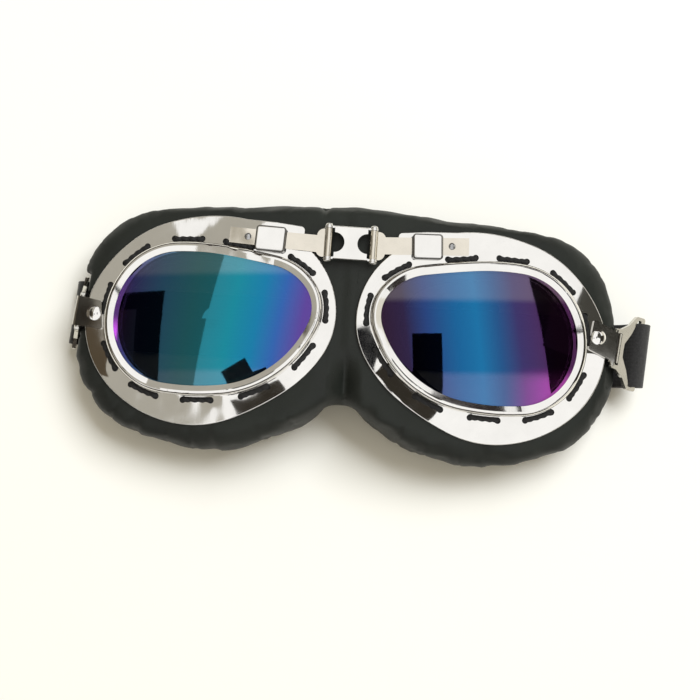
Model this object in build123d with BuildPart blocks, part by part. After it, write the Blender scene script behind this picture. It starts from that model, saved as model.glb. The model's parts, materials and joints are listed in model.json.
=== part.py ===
"""Aviator flying goggles, lying on their back: +Z out of the lenses, +Y to the brow, +X right.

Sizes are in millimetres. Each eye is drawn flat in its own plane, which is tilted outward
about the hinge; the left eye is the mirror of the right one. The floor is z = 0.
"""

import os
from math import atan2, cos, degrees, radians, sin, sqrt, tan

from build123d import *

# Driving sizes
WRAP = 6.0
HINGE_X = 8.2
HINGE_Z = 30.0
HINGE_Y = 29.9
SHEET = 1.0
TONGUE_SHEET = 0.8
FLANGE_TOP = -1.5
RIM_TOP = 2.0
RIM_LIP = 1.1
RIM_CREST = 2.0
RIM_WIDTH = 3.8
REBATE = 1.6
LENS_EDGE = 1.4
LENS_RADIUS = 240.0
LENS_THICKNESS = 2.0
LENS_APEX = 1.9
FLANGE_EDGE = 0.35
SLOT_LENGTH = 10.4
SLOT_WIDTH = 1.8
SLOT_END_R = 1.15
SLOT_OFFSET = 4.9
KNUCKLE_R = 1.5
KNUCKLE_LENGTH = 10.4
PIN_R = 0.8
BORE_R = 0.85
LINK_HEIGHT = 12.2
LINK_SHEET = 0.8
BRACKET_WIDTH = 11.0
BRACKET_SHEET = 1.0
RING_W = -2.6
RING_BAR_R = 1.0
RING_THICKNESS = 1.4
RING_DEPTH = 12.6
STRAP_WIDTH = 24.2
STRAP_SHEET = 1.4
SLIDER_X = 50.0
CUSHION_GAP = 3.5
GUSSET_TOP = 45.0
GUSSET_BOTTOM = -28.0

# What differs between the sides. The tongue: lower and upper edge where it leaves the
# knuckle, its end, rivet and keeper. The strap hardware: middle and slant of the ring's bar,
# how steeply the ring hangs and how far down it swings, the strap's shift on it, the rivet
# and the inner end of the bracket
RIGHT = {
    "neck": (27.1, 33.4),
    "tab": [(43.7, 29.4), (43.5, 35.7)],
    "tongue_rivet": (37.3, 32.1),
    "keeper": (28.2, 31.1),
    "bar": (100.8, -0.5),
    "slant": 6.5,
    "hang": 35.0,
    "lowest": 50.0,
    "shift": -0.4,
    "rivet": (93.9, 2.8),
    "inner": [(92.2, 9.6), (90.4, -1.7)],
}
LEFT = {
    "neck": (26.3, 32.6),
    "tab": [(45.1, 28.5), (44.9, 34.2)],
    "tongue_rivet": (38.2, 30.9),
    "keeper": (29.6, 30.3),
    "bar": (99.9, 0.2),
    "slant": -6.2,
    "hang": 78.0,
    "lowest": 80.0,
    "shift": 0.4,
    "rivet": (93.8, -0.5),
    "inner": [(91.3, 4.2), (90.2, -6.3)],
}

# Outlines of the right eye: x, y and heading in degrees, anticlockwise
LENS = [
    (85.5, -5.4, 82.1),
    (63.5, 23.9, 175.9),
    (27.6, 20.5, 190.7),
    (13.4, 0.1, 291.7),
    (25.3, -16.1, 321.5),
    (65.8, -24.7, 6.0),
]
FLANGE = [
    (97.2, -5.1, 83.6),
    (82.1, 27.3, 139.4),
    (53.4, 38.1, 175.1),
    (4.0, 6.7, 263.0),
    (21.3, -25.7, 324.3),
    (59.4, -39.2, 5.5),
]
CUP_BACK = [
    (84.0, -5.4, 82.1),
    (63.5, 22.9, 175.9),
    (36.0, 19.5, 192.0),
    (24.5, 1.0, 285.0),
    (33.0, -15.0, 321.5),
    (65.8, -24.0, 6.0),
]
CUSHION_FRONT = [
    (3.5, -25.0, 326.0),
    (50.0, -40.3, 2.0),
    (88.6, -29.4, 42.0),
    (97.8, -3.0, 88.0),
    (84.4, 29.4, 138.0),
    (53.0, 39.4, 178.0),
    (3.5, 41.5, 177.0),
]
CUSHION_MID = [
    (4.0, -29.0, 322.0),
    (50.0, -47.4, 2.0),
    (89.0, -36.0, 41.0),
    (102.3, -3.0, 90.0),
    (90.3, 32.8, 136.0),
    (54.0, 43.0, 179.0),
    (4.0, 46.2, 176.0),
]
CUSHION_LOW = [
    (9.0, -31.0, 318.0),
    (50.0, -46.6, 2.0),
    (88.2, -35.2, 41.0),
    (101.2, -3.0, 90.0),
    (89.6, 32.0, 136.0),
    (55.0, 42.3, 179.0),
    (9.0, 44.4, 178.0),
]
CUSHION_BACK = [
    (13.5, -28.0, 318.0),
    (50.0, -41.5, 2.0),
    (84.5, -31.0, 41.0),
    (96.0, -3.0, 90.0),
    (85.9, 28.5, 136.0),
    (56.0, 37.6, 179.0),
    (13.5, 37.8, 182.0),
]
SLOTS = [
    (79.5, 21.9),
    (60.5, 28.3),
    (41.4, 27.6),
    (16.6, 23.0),
    (6.7, 6.7),
    (13.2, -13.1),
    (31.5, -26.6),
    (52.8, -30.7),
    (73.3, -28.5),
    (87.3, -16.2),
    (89.6, 5.4),
]
KEEPER_TURN = 3.0


def eye_plane(w=0.0, fraction=0.0):
    """Plane of the right eye at height w; a fraction of 1 lays it down on the floor."""
    tilt = degrees(atan2(tan(radians(WRAP)) * (1 - fraction), 1))
    height = (HINGE_Z + HINGE_X * tan(radians(WRAP)) + w / cos(radians(WRAP))) * (1 - fraction)
    slope = radians(tilt)
    x_dir = (cos(slope), 0, -sin(slope))
    z_dir = (sin(slope), 0, cos(slope))
    return Plane(origin=(0, 0, height), x_dir=x_dir, z_dir=z_dir)


EYE = Plane(
    origin=(
        HINGE_X * (1 - cos(radians(WRAP))),
        0,
        HINGE_Z + HINGE_X * sin(radians(WRAP)),
    ),
    x_dir=(cos(radians(WRAP)), 0, -sin(radians(WRAP))),
    z_dir=(sin(radians(WRAP)), 0, cos(radians(WRAP))),
)


def arc_through(start, start_dir, end, end_dir, grow):
    """One arc between two points with known headings, pushed outward by grow."""
    start_out = Vector(start_dir.Y, -start_dir.X)
    end_out = Vector(end_dir.Y, -end_dir.X)
    middle_dir = (start_dir + end_dir).normalized()
    middle_out = Vector(middle_dir.Y, -middle_dir.X)
    turn = atan2(start_dir.cross(end_dir).Z, start_dir.dot(end_dir))
    bulge = (end - start).length / 2 * tan(turn / 4)
    middle = (start + end) / 2 + middle_out * (bulge + grow)
    return ThreePointArc(
        start + start_out * grow, middle, end + end_out * grow, mode=Mode.PRIVATE
    )


def arcs(nodes, grow=0.0, closed=True):
    """Edges of a smooth run of arcs through the nodes, two arcs from each to the next."""
    run = nodes + nodes[:1] if closed else nodes
    edges = []
    for (x0, y0, heading0), (x1, y1, heading1) in zip(run, run[1:]):
        p0 = Vector(x0, y0)
        p1 = Vector(x1, y1)
        t0 = Vector(cos(radians(heading0)), sin(radians(heading0)))
        t1 = Vector(cos(radians(heading1)), sin(radians(heading1)))
        chord = p1 - p0
        a = 2 * (1 - t0.dot(t1))
        b = 2 * chord.dot(t0 + t1)
        reach = (sqrt(b * b + 4 * a * chord.dot(chord)) - b) / (2 * a)
        joint = (p0 + p1 + (t0 - t1) * reach) / 2
        joint_dir = ((p1 - t1 * reach) - (p0 + t0 * reach)).normalized()
        edges.append(arc_through(p0, t0, joint, joint_dir, grow))
        edges.append(arc_through(joint, joint_dir, p1, t1, grow))
    return edges


def cushion_outline(nodes):
    """Outline of the cushion at one level: arcs round the eye, straight along the nose."""
    edges = arcs(nodes, closed=False)
    x0, y0, _ = nodes[0]
    x1, y1, _ = nodes[-1]
    return edges + [Line((x1, y1), (x0, y0), mode=Mode.PRIVATE)]


def between(first, second, share):
    """Nodes part of the way from one outline to another."""
    return [
        tuple(p + (q - p) * share for p, q in zip(a, b)) for a, b in zip(first, second)
    ]


def slot_arc(centre, length, offset=SLOT_OFFSET):
    """Middle line of one sewing slot: the stretch of the slot line nearest to its centre."""
    edges = arcs(LENS, offset)
    total = sum(edge.length for edge in edges)
    wire = Wire(edges)
    at = wire.param_at_point(wire.closest_points(Vertex(*centre))[0])
    half = length / 2 / total
    marks = [wire.position_at((at + step) % 1.0) for step in (-half, 0, half)]
    return ThreePointArc(*marks, mode=Mode.PRIVATE)


def lens_dome(drop):
    """Large ball whose top is the lens curve, drop below the lens front."""
    centre = Vector(49.5, -0.5, LENS_APEX - LENS_RADIUS)
    ball = Sphere(LENS_RADIUS - drop, mode=Mode.PRIVATE)
    return EYE.location * Pos(*centre) * ball


# Frame, lens and what holds it


def build_frame(side):
    """Stamped eye frame: flat flange, raised rim sloping in to the lens, slots and holes."""
    with BuildPart() as frame:
        with BuildSketch(EYE.offset(FLANGE_TOP - SHEET)):
            make_face(arcs(FLANGE))
            with BuildLine():
                Polyline(
                    (17.3, 22), (17.3, 35.6), (28.2, 36.9), (50, 38.2), (50, 22), close=True
                )
            make_face()
            fillet(vertices().sort_by_distance((17.3, 35.6))[0], 1.6)
        extrude(amount=SHEET)
        sheet_top = frame.faces().sort_by(Axis(EYE.origin, EYE.z_dir))[-1]
        fillet(sheet_top.edges(), radius=FLANGE_EDGE)
        with BuildSketch(EYE.offset(FLANGE_TOP - SHEET)):
            make_face(arcs(LENS, RIM_WIDTH))
        extrude(amount=RIM_TOP - FLANGE_TOP + SHEET)
        top = frame.faces().sort_by(Axis(EYE.origin, EYE.z_dir))[-1]
        fillet(top.edges(), radius=1.9)
        with BuildSketch(EYE.offset(FLANGE_TOP - SHEET)):
            make_face(arcs(LENS))
        extrude(amount=RIM_TOP - FLANGE_TOP + SHEET, mode=Mode.SUBTRACT)
        for height, grow in ((RIM_LIP, 0), (RIM_TOP + 0.01, RIM_CREST)):
            with BuildSketch(EYE.offset(height)):
                make_face(arcs(LENS, grow))
        loft(ruled=True, mode=Mode.SUBTRACT)
        with BuildSketch(EYE.offset(FLANGE_TOP - SHEET - 3)):
            make_face(arcs(LENS, REBATE))
        dome = extrude(amount=9, mode=Mode.PRIVATE) & lens_dome(0)
        add(dome, mode=Mode.SUBTRACT)
        with BuildSketch(EYE.offset(FLANGE_TOP)):
            for centre in SLOTS:
                SlotArc(slot_arc(centre, SLOT_LENGTH), SLOT_WIDTH)
                ends = slot_arc(centre, SLOT_LENGTH, SLOT_OFFSET + 0.35)
                with Locations(ends @ 0, ends @ 1):
                    Circle(SLOT_END_R)
            with Locations(side["tongue_rivet"]):
                Circle(0.7)
            with Locations(side["rivet"]):
                Circle(1.2)
        extrude(amount=-SHEET, mode=Mode.SUBTRACT)
    return frame.part


def build_lens():
    """Mirrored lens, a shallow dome seated under the lip of the rim."""
    with BuildPart() as lens:
        with BuildSketch(EYE.offset(-6)):
            make_face(arcs(LENS, LENS_EDGE))
        extrude(amount=9)
        add(lens_dome(0), mode=Mode.INTERSECT)
        add(lens_dome(LENS_THICKNESS), mode=Mode.SUBTRACT)
    return lens.part


def build_lens_retainer():
    """Black ring pushed in behind the lens."""
    with BuildPart() as retainer:
        with BuildSketch(EYE.offset(FLANGE_TOP - SHEET - 2.2)):
            make_face(arcs(LENS, LENS_EDGE))
            make_face(arcs(LENS, -0.6), mode=Mode.SUBTRACT)
        extrude(amount=6)
        add(lens_dome(LENS_THICKNESS), mode=Mode.INTERSECT)
    return retainer.part


# Cushion and gusset


def build_cushion(side):
    """Face cushion: drawn in under the flange, full at the sides, rounded to a flat back."""
    ring = ring_frame(side, side["lowest"])
    low = between(CUSHION_LOW, CUSHION_BACK, 0.45)
    levels = [
        (0.0, cushion_outline(CUSHION_FRONT)),
        (0.28, cushion_outline(CUSHION_MID)),
        (0.68, cushion_outline(CUSHION_LOW)),
        (0.93, cushion_outline(low)),
        (1.0, cushion_outline(CUSHION_BACK)),
    ]
    cup = [
        (0.0, arcs(LENS, 2.6)),
        (0.5, arcs(between(LENS, CUP_BACK, 0.5), 1.3)),
        (0.85, arcs(between(LENS, CUP_BACK, 0.85), 1.2)),
        (1.0, arcs(CUP_BACK, 4.0)),
    ]
    with BuildPart() as cushion:
        for fraction, edges in levels:
            with BuildSketch(eye_plane(FLANGE_TOP - SHEET - 0.03, fraction)):
                make_face(edges)
        loft()
        for fraction, edges in cup:
            with BuildSketch(eye_plane(FLANGE_TOP - SHEET - 0.03, fraction)):
                make_face(edges)
        loft(mode=Mode.SUBTRACT)
        with BuildSketch(Plane.XY.offset(-1)):
            with Locations((60, 0)):
                Rectangle(110, STRAP_WIDTH + 3)
        extrude(amount=4.4, mode=Mode.SUBTRACT)
        for start, half, below in ((-2.8, 6.5, 2.5), (-1.4, 14.8, 1.3), (9.2, 13.4, 3.1)):
            with BuildSketch(Plane(ring).offset(-below)):
                with Locations(((start + 16) / 2, 0)):
                    Rectangle(16 - start, 2 * half)
            extrude(amount=30, mode=Mode.SUBTRACT)
        with BuildSketch(Plane.XY):
            with Locations((0, 0)):
                Rectangle(2 * CUSHION_GAP, 120)
        extrude(amount=40, mode=Mode.SUBTRACT)
    return cushion.part


def build_stitching():
    """Thread lying in the sewing slots, on the cushion."""
    with BuildPart() as stitching:
        with BuildSketch(EYE.offset(FLANGE_TOP - SHEET)):
            for centre in SLOTS:
                SlotArc(slot_arc(centre, SLOT_LENGTH - 0.9), SLOT_WIDTH - 0.6)
        extrude(amount=SHEET - 0.2)
    return stitching.part


def build_nose_gusset():
    """Gathered leather over the nose, three soft folds between the two cushions."""
    half = CUSHION_GAP - 0.4
    pitch = 2 * half / 3
    with BuildPart() as gusset:
        with BuildSketch(Plane.XZ.offset(-GUSSET_TOP)):
            with BuildLine():
                Polyline((-half, 25.2), (-half, 20), (half, 20), (half, 25.2))
                for index in range(3):
                    x = half - index * pitch
                    ThreePointArc((x, 25.2), (x - pitch / 2, 26.2), (x - pitch, 25.2))
            make_face()
        extrude(amount=GUSSET_TOP - GUSSET_BOTTOM)
        ends = gusset.edges().filter_by(Axis.X).group_by(Axis.Z)[0]
        fillet(ends, radius=2.0)
    return gusset.part


# Bridge


def build_bridge_link():
    """Centre link: shallow channel with a round notch at each end and ears on the pins."""
    half = LINK_HEIGHT / 2
    with BuildPart() as link:
        with BuildSketch(Plane.XZ.offset(-HINGE_Y - half)):
            with Locations((0, HINGE_Z + 0.2)):
                Rectangle(2 * HINGE_X, 2.0)
            with Locations((0, HINGE_Z + 0.55)):
                Rectangle(12.6, 2.7)
            with Locations((-HINGE_X, HINGE_Z), (HINGE_X, HINGE_Z)):
                Circle(1.7)
        extrude(amount=LINK_HEIGHT)
        outer = link.edges().filter_by(Axis.X).group_by(Axis.Z)[-1]
        fillet(outer, radius=0.6)
        with BuildSketch(Plane.XZ.offset(-HINGE_Y - half + LINK_SHEET)):
            with Locations((0, HINGE_Z - 0.5)):
                Rectangle(30, 3.2)
        extrude(amount=LINK_HEIGHT - 2 * LINK_SHEET, mode=Mode.SUBTRACT)
        with BuildSketch(Plane.XY.offset(HINGE_Z)):
            for side in (-1, 1):
                with Locations((side * (HINGE_X - 0.1), HINGE_Y)):
                    Rectangle(4.2, LINK_HEIGHT - 2 * LINK_SHEET)
                with Locations((side * 6.0, HINGE_Y)):
                    Circle(3.65)
        extrude(amount=5, mode=Mode.SUBTRACT)
        with BuildSketch(Plane.XZ.offset(-HINGE_Y - half)):
            with Locations((-HINGE_X, HINGE_Z), (HINGE_X, HINGE_Z)):
                Circle(PIN_R)
        extrude(amount=LINK_HEIGHT, mode=Mode.SUBTRACT)
    return link.part


def build_hinge_pin():
    """Hinge pin through the ears and the knuckle, with a domed head at each end."""
    half = LINK_HEIGHT / 2
    with BuildPart() as pin:
        with BuildSketch(Plane.XZ.offset(-HINGE_Y - half)):
            with Locations((HINGE_X, HINGE_Z)):
                Circle(PIN_R)
        extrude(amount=LINK_HEIGHT)
        for y in (HINGE_Y + half + 0.95, HINGE_Y - half):
            with BuildSketch(Plane.XZ.offset(-y)):
                with Locations((HINGE_X, HINGE_Z)):
                    Circle(KNUCKLE_R)
            extrude(amount=0.95)
        ends = pin.faces().sort_by(Axis.Y)
        fillet([ends[0].edge(), ends[-1].edge()], radius=0.75)
    return pin.part


def build_bridge_tongue(side):
    """Tongue: knuckle rolled round the pin, narrowing to a strip that ends in a square tab."""
    half = KNUCKLE_LENGTH / 2
    low, high = side["neck"]
    with BuildPart() as tongue:
        with BuildSketch(EYE.offset(FLANGE_TOP)):
            with BuildLine():
                Line((HINGE_X, HINGE_Y + half), (HINGE_X, HINGE_Y - half))
                Line((HINGE_X, HINGE_Y - half), (HINGE_X + 1.6, HINGE_Y - half))
                RadiusArc((HINGE_X + 1.6, HINGE_Y - half), (HINGE_X + 4.4, low), -2.6)
                Polyline((HINGE_X + 4.4, low), *side["tab"], (HINGE_X + 4.4, high))
                RadiusArc((HINGE_X + 4.4, high), (HINGE_X + 1.6, HINGE_Y + half), -2.6)
                Line((HINGE_X + 1.6, HINGE_Y + half), (HINGE_X, HINGE_Y + half))
            make_face()
            with Locations(side["tongue_rivet"]):
                Circle(0.7, mode=Mode.SUBTRACT)
        extrude(amount=TONGUE_SHEET)
        with BuildSketch(Plane.XZ.offset(-HINGE_Y - half)):
            with Locations((HINGE_X, HINGE_Z)):
                Circle(KNUCKLE_R)
        extrude(amount=KNUCKLE_LENGTH)
        with BuildSketch(Plane.XZ.offset(-HINGE_Y - half)):
            with Locations((HINGE_X, HINGE_Z)):
                Circle(BORE_R)
        extrude(amount=KNUCKLE_LENGTH, mode=Mode.SUBTRACT)
    return tongue.part


def build_tongue_keeper(side):
    """Raised box over the tongue, open at both ends."""
    with BuildPart() as keeper:
        with BuildSketch(EYE.offset(FLANGE_TOP)):
            with Locations(Location(side["keeper"], KEEPER_TURN)):
                RectangleRounded(11.2, 9.4, 1.3)
        extrude(amount=2.8)
        top = keeper.faces().sort_by(Axis(EYE.origin, EYE.z_dir))[-1]
        fillet(top.edges(), radius=0.9)
        with BuildSketch(EYE.offset(FLANGE_TOP)):
            with Locations(Location(side["keeper"], KEEPER_TURN)):
                Rectangle(12, 7.7)
        extrude(amount=1.6, mode=Mode.SUBTRACT)
    return keeper.part


def build_rivet(centre, shank, head, base, height):
    """Rivet with a domed head, its shank through the flange."""
    rise = height * 0.75
    dome = (head * head + rise * rise) / (2 * rise)
    ball = Pos(*centre, base + height - dome) * Sphere(dome, mode=Mode.PRIVATE)
    with BuildPart() as rivet:
        with BuildSketch(EYE.offset(FLANGE_TOP - SHEET)):
            with Locations(centre):
                Circle(shank)
        extrude(amount=SHEET + base - FLANGE_TOP)
        with BuildSketch(EYE.offset(base)):
            with Locations(centre):
                Circle(head)
        extrude(amount=height)
        add(EYE.location * ball, mode=Mode.INTERSECT)
    return rivet.part


# Strap hardware


def ring_frame(side, tilt):
    """Axes of the strap ring: X away from its bar, Y along the bar."""
    bar = EYE.location * Pos(*side["bar"], RING_W) * Rot(0, 0, -side["slant"])
    return bar * Rot(0, tilt - WRAP, 0)


def build_strap_bracket(side):
    """Plate riveted on the flange, rolled at its outer end round the bar of the ring."""
    half = BRACKET_WIDTH / 2
    slant = radians(side["slant"])
    u, v = side["bar"]
    step = (half * sin(slant), half * cos(slant))
    across = Plane(ring_frame(side, WRAP) * Plane.XZ.location)
    with BuildPart() as bracket:
        with BuildSketch(EYE.offset(FLANGE_TOP)):
            with BuildLine():
                Polyline(
                    (u + step[0], v + step[1]),
                    *side["inner"],
                    (u - step[0], v - step[1]),
                    close=True,
                )
            make_face()
            corners = [vertices().sort_by_distance(corner)[0] for corner in side["inner"]]
            fillet(corners, 0.8)
        extrude(amount=BRACKET_SHEET)
        with BuildSketch(across.offset(-half)):
            Circle(FLANGE_TOP + BRACKET_SHEET - RING_W)
        extrude(amount=BRACKET_WIDTH)
        with BuildSketch(across.offset(-half)):
            Circle(RING_BAR_R + 0.06)
        extrude(amount=BRACKET_WIDTH, mode=Mode.SUBTRACT)
        with BuildSketch(EYE.offset(FLANGE_TOP)):
            with Locations(side["rivet"]):
                Circle(1.2)
        extrude(amount=BRACKET_SHEET, mode=Mode.SUBTRACT)
    return bracket.part


def build_strap_ring(side):
    """Flat stamped strap ring, its round inner bar lying in the bracket's roll."""
    frame = Plane(ring_frame(side, side["hang"]))
    outer = RING_DEPTH + 1
    inner = RING_DEPTH - 1
    bar_end = BRACKET_WIDTH / 2 + 0.5
    with BuildPart() as ring:
        with BuildSketch(frame.offset(-RING_THICKNESS / 2)):
            with BuildLine():
                Polyline(
                    (-1, 0),
                    (-1, 7.4),
                    (1.8, 7.6),
                    (5.8, 10.0),
                    (9.1, 14.0),
                    (outer, 14.0),
                    (outer, 0),
                    close=True,
                )
            make_face()
            mirror(about=Plane.XZ)
            fillet(vertices(), 1.0)
            with BuildLine():
                Polyline(
                    (4.3, 0),
                    (4.4, 2.6),
                    (7.4, 7.0),
                    (10.0, 12.7),
                    (inner, 12.7),
                    (inner, 0),
                    close=True,
                )
            hole = make_face(mode=Mode.SUBTRACT)
            mirror(hole, about=Plane.XZ, mode=Mode.SUBTRACT)
            with Locations((-0.25, 0)):
                Rectangle(5.5, 2 * bar_end, mode=Mode.SUBTRACT)
        extrude(amount=RING_THICKNESS)
        with BuildSketch(Plane(frame.location * Plane.XZ.location).offset(-bar_end - 0.8)):
            Circle(RING_BAR_R)
        extrude(amount=2 * bar_end + 1.6)
    return ring.part


# Strap


def strap_run(points, bend):
    """Webbing of even thickness along a run of points given as x and z."""
    with BuildPart() as piece:
        with BuildSketch(Plane.XZ.offset(-STRAP_WIDTH / 2)):
            with BuildLine():
                run = Polyline(*points)
                if bend:
                    fillet(run.vertices().sort_by(run)[1:-1], radius=bend)
            trace(line_width=STRAP_SHEET)
        extrude(amount=STRAP_WIDTH)
    return piece.part


def build_strap_band_right():
    """Right half of the strap: flat, woven over the slider's middle bar, up to the ring."""
    low = STRAP_SHEET / 2
    high = 1.5 * STRAP_SHEET
    x = SLIDER_X
    points = [
        (0, low),
        (x - 11.5, low),
        (x - 9, high),
        (x - 5.2, high),
        (x - 3.7, 4.75 * STRAP_SHEET),
        (x + 3.7, 4.75 * STRAP_SHEET),
        (x + 5.2, high),
        (101.8, high),
        (106.8, 8.3),
    ]
    return strap_run(points, 1.1)


def build_strap_return_right():
    """Lower layer of the strap, from the right ring back to the slider."""
    low = STRAP_SHEET / 2
    return strap_run([(SLIDER_X + 3.6, low), (104.5, low), (109.2, 6.7)], 2.0)


def build_strap_band_left():
    """Left half of the strap, with the end that is folded back and sewn down."""
    low = STRAP_SHEET / 2
    with BuildPart() as band:
        add(strap_run([(0, low), (102.6, low)], 0))
        add(strap_run([(72, 3 * low), (96.6, 3 * low)], 0))
    return mirrored(band.part)


def build_strap_slider():
    """Slider with two windows and a middle bar."""
    with BuildPart() as slider:
        with BuildSketch(Plane.XY.offset(2 * STRAP_SHEET + 0.1)):
            with Locations((SLIDER_X, 0)):
                RectangleRounded(16.5, STRAP_WIDTH + 5, 1.6)
            with Locations((SLIDER_X - 3.6, 0), (SLIDER_X + 3.6, 0)):
                RectangleRounded(5.2, STRAP_WIDTH + 1, 0.6, mode=Mode.SUBTRACT)
        extrude(amount=1.6)
        fillet(slider.edges().filter_by(GeomType.LINE).group_by(Axis.Z)[-1], radius=0.3)
    return slider.part


def build_strap_tail():
    """End of the strap, sewn round the slider's middle bar."""
    with BuildPart() as tail:
        with BuildSketch(Plane.XZ.offset(-STRAP_WIDTH / 2)):
            with Locations((SLIDER_X, 2 * STRAP_SHEET + 0.9)):
                RectangleRounded(4.8, 4.4, 1.6)
                Rectangle(2.0, 1.6, mode=Mode.SUBTRACT)
        extrude(amount=STRAP_WIDTH)
    return tail.part


def build_strap_loop(side):
    """Fold of the strap round the outer bar of a ring."""
    frame = ring_frame(side, side["hang"])
    across = Plane(frame * Plane.XZ.location).offset(-side["shift"] - STRAP_WIDTH / 2)
    with BuildPart() as loop:
        with BuildSketch(across):
            with Locations((RING_DEPTH, 0)):
                RectangleRounded(5.8, 5.2, 2.55)
                RectangleRounded(3.0, 2.4, 1.15, mode=Mode.SUBTRACT)
        extrude(amount=STRAP_WIDTH)
    return loop.part


def mirrored(part):
    """The same piece on the left."""
    return mirror(part, about=Plane.YZ)


def write(name, part):
    """Labels a piece and writes its file."""
    part.label = name
    export_step(part, f"parts/{name}.step")


def write_pair(name, right, left=None):
    """Writes a right piece, and the mirror of it or of the left side's own shape."""
    write(f"{name}_right", right)
    write(f"{name}_left", mirrored(left or right))


def main():
    os.makedirs("parts", exist_ok=True)
    write("bridge_link", build_bridge_link())
    write("nose_gusset", build_nose_gusset())
    write_pair("hinge_pin", build_hinge_pin())
    write_pair("frame", build_frame(RIGHT), build_frame(LEFT))
    write_pair("lens", build_lens())
    write_pair("lens_retainer", build_lens_retainer())
    write_pair("cushion", build_cushion(RIGHT), build_cushion(LEFT))
    write_pair("stitching", build_stitching())
    write_pair("bridge_tongue", build_bridge_tongue(RIGHT), build_bridge_tongue(LEFT))
    write_pair("tongue_keeper", build_tongue_keeper(RIGHT), build_tongue_keeper(LEFT))
    tongue_top = FLANGE_TOP + TONGUE_SHEET
    spots = [side["tongue_rivet"] for side in (RIGHT, LEFT)]
    write_pair("tongue_rivet", *[build_rivet(spot, 0.7, 1.3, tongue_top, 0.7) for spot in spots])
    write_pair("strap_bracket", build_strap_bracket(RIGHT), build_strap_bracket(LEFT))
    plate_top = FLANGE_TOP + BRACKET_SHEET
    rivets = [build_rivet(side["rivet"], 1.2, 2.75, plate_top, 1.2) for side in (RIGHT, LEFT)]
    write_pair("bracket_rivet", *rivets)
    write_pair("strap_ring", build_strap_ring(RIGHT), build_strap_ring(LEFT))
    write("strap_band_right", build_strap_band_right())
    write("strap_return_right", build_strap_return_right())
    write("strap_band_left", build_strap_band_left())
    write("strap_slider", build_strap_slider())
    write("strap_tail", build_strap_tail())
    write_pair("strap_loop", build_strap_loop(RIGHT), build_strap_loop(LEFT))


main()
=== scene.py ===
"""Aviator flying goggles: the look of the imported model, laid out as an add-on.

The goggles lie on their back. +X is right, +Y is towards the brow, +Z is out of the lenses.
"""

import json
from math import atan2, cos, pi, radians, sin, sqrt, tan

import bpy
from bpy.props import FloatProperty, FloatVectorProperty, IntProperty, PointerProperty
from mathutils import Matrix, Vector, noise


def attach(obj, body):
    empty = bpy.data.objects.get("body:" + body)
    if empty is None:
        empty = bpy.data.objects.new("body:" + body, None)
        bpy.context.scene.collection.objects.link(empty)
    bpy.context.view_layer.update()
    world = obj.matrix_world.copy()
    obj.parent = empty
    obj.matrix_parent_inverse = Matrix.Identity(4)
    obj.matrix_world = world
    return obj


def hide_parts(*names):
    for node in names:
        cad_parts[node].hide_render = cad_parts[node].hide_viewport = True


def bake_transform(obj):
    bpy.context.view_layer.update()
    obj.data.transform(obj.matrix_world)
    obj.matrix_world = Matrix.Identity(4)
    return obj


bl_info = {
    "name": "Aviator goggles",
    "version": (1, 0, 0),
    "blender": (4, 5, 0),
    "location": "View3D > Sidebar > Goggles",
    "description": "Leather, webbing, thread, finishes and studio for the aviator goggles",
    "category": "Add Mesh",
}

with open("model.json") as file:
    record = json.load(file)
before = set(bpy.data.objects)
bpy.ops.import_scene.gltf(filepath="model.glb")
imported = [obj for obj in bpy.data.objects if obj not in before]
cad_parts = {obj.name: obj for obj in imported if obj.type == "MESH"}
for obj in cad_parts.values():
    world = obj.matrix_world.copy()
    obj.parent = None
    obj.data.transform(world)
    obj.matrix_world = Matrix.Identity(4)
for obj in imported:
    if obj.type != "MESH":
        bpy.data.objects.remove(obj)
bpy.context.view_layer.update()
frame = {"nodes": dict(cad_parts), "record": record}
NODES = frame["nodes"]
JOINTS = {joint["name"]: joint for joint in frame["record"]["behaviour"]["joints"]}

SIDES = {"left": -1.0, "right": 1.0}
HINGE = Vector(JOINTS["hinge_right"]["pos_m"])
# How far each eye leans back, outwards from its hinge.
WRAP = radians(6.0)

# Where the cushions' leather ends on X and the nose piece begins.
SEAM = 0.0034
# Heights square to an eye's plane, from its hinge: the top of the cloth, just under the
# flange, the cloth that is held while it swells, and the underside of tongue and bracket.
CLOTH_TOP = -0.00256
CLOTH_HELD = -0.0032
COVER_BACK = -0.00156

STITCH_LENGTH = 0.0122
STRAP_WIDTH = 0.0242
STRAP_THICK = 0.0013
# How far each ring's bar slants from Y, and how far below level the ring can hang.
RING_SLANT = {"left": radians(6.2), "right": radians(6.5)}
RING_LOW = {"left": radians(80.0), "right": radians(50.0)}
CHROMED = ("frame", "bracket_rivet", "hinge_pin")


# Settings


class LeatherSettings(bpy.types.PropertyGroup):
    colour: FloatVectorProperty(
        name="Leather colour",
        description="Colour of the leather cloth",
        subtype="COLOR",
        size=3,
        min=0.0,
        max=1.0,
        default=(0.0120, 0.0140, 0.0118),
    )
    swell: FloatProperty(
        name="Swell",
        description="Pressure of the foam on the cloth",
        default=4.0,
        min=0.0,
        max=20.0,
    )
    pucker: FloatProperty(
        name="Pucker depth",
        description="Depth of the gathers round the edge",
        default=0.00035,
        unit="LENGTH",
    )
    gathers: IntProperty(
        name="Gathers",
        description="Roughly how many gathers go round one cushion",
        default=26,
        min=4,
        max=200,
    )


class FinishSettings(bpy.types.PropertyGroup):
    chrome: FloatVectorProperty(
        name="Chrome colour",
        description="Colour of the plating",
        subtype="COLOR",
        size=3,
        min=0.0,
        max=1.0,
        default=(0.94, 0.92, 0.88),
    )
    webbing: FloatVectorProperty(
        name="Webbing colour",
        description="Colour of the elastic strap",
        subtype="COLOR",
        size=3,
        min=0.0,
        max=1.0,
        default=(0.012, 0.012, 0.013),
    )
    thread: FloatProperty(
        name="Thread thickness",
        description="Thickness of the sewing thread",
        default=0.0024,
        unit="LENGTH",
    )


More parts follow.
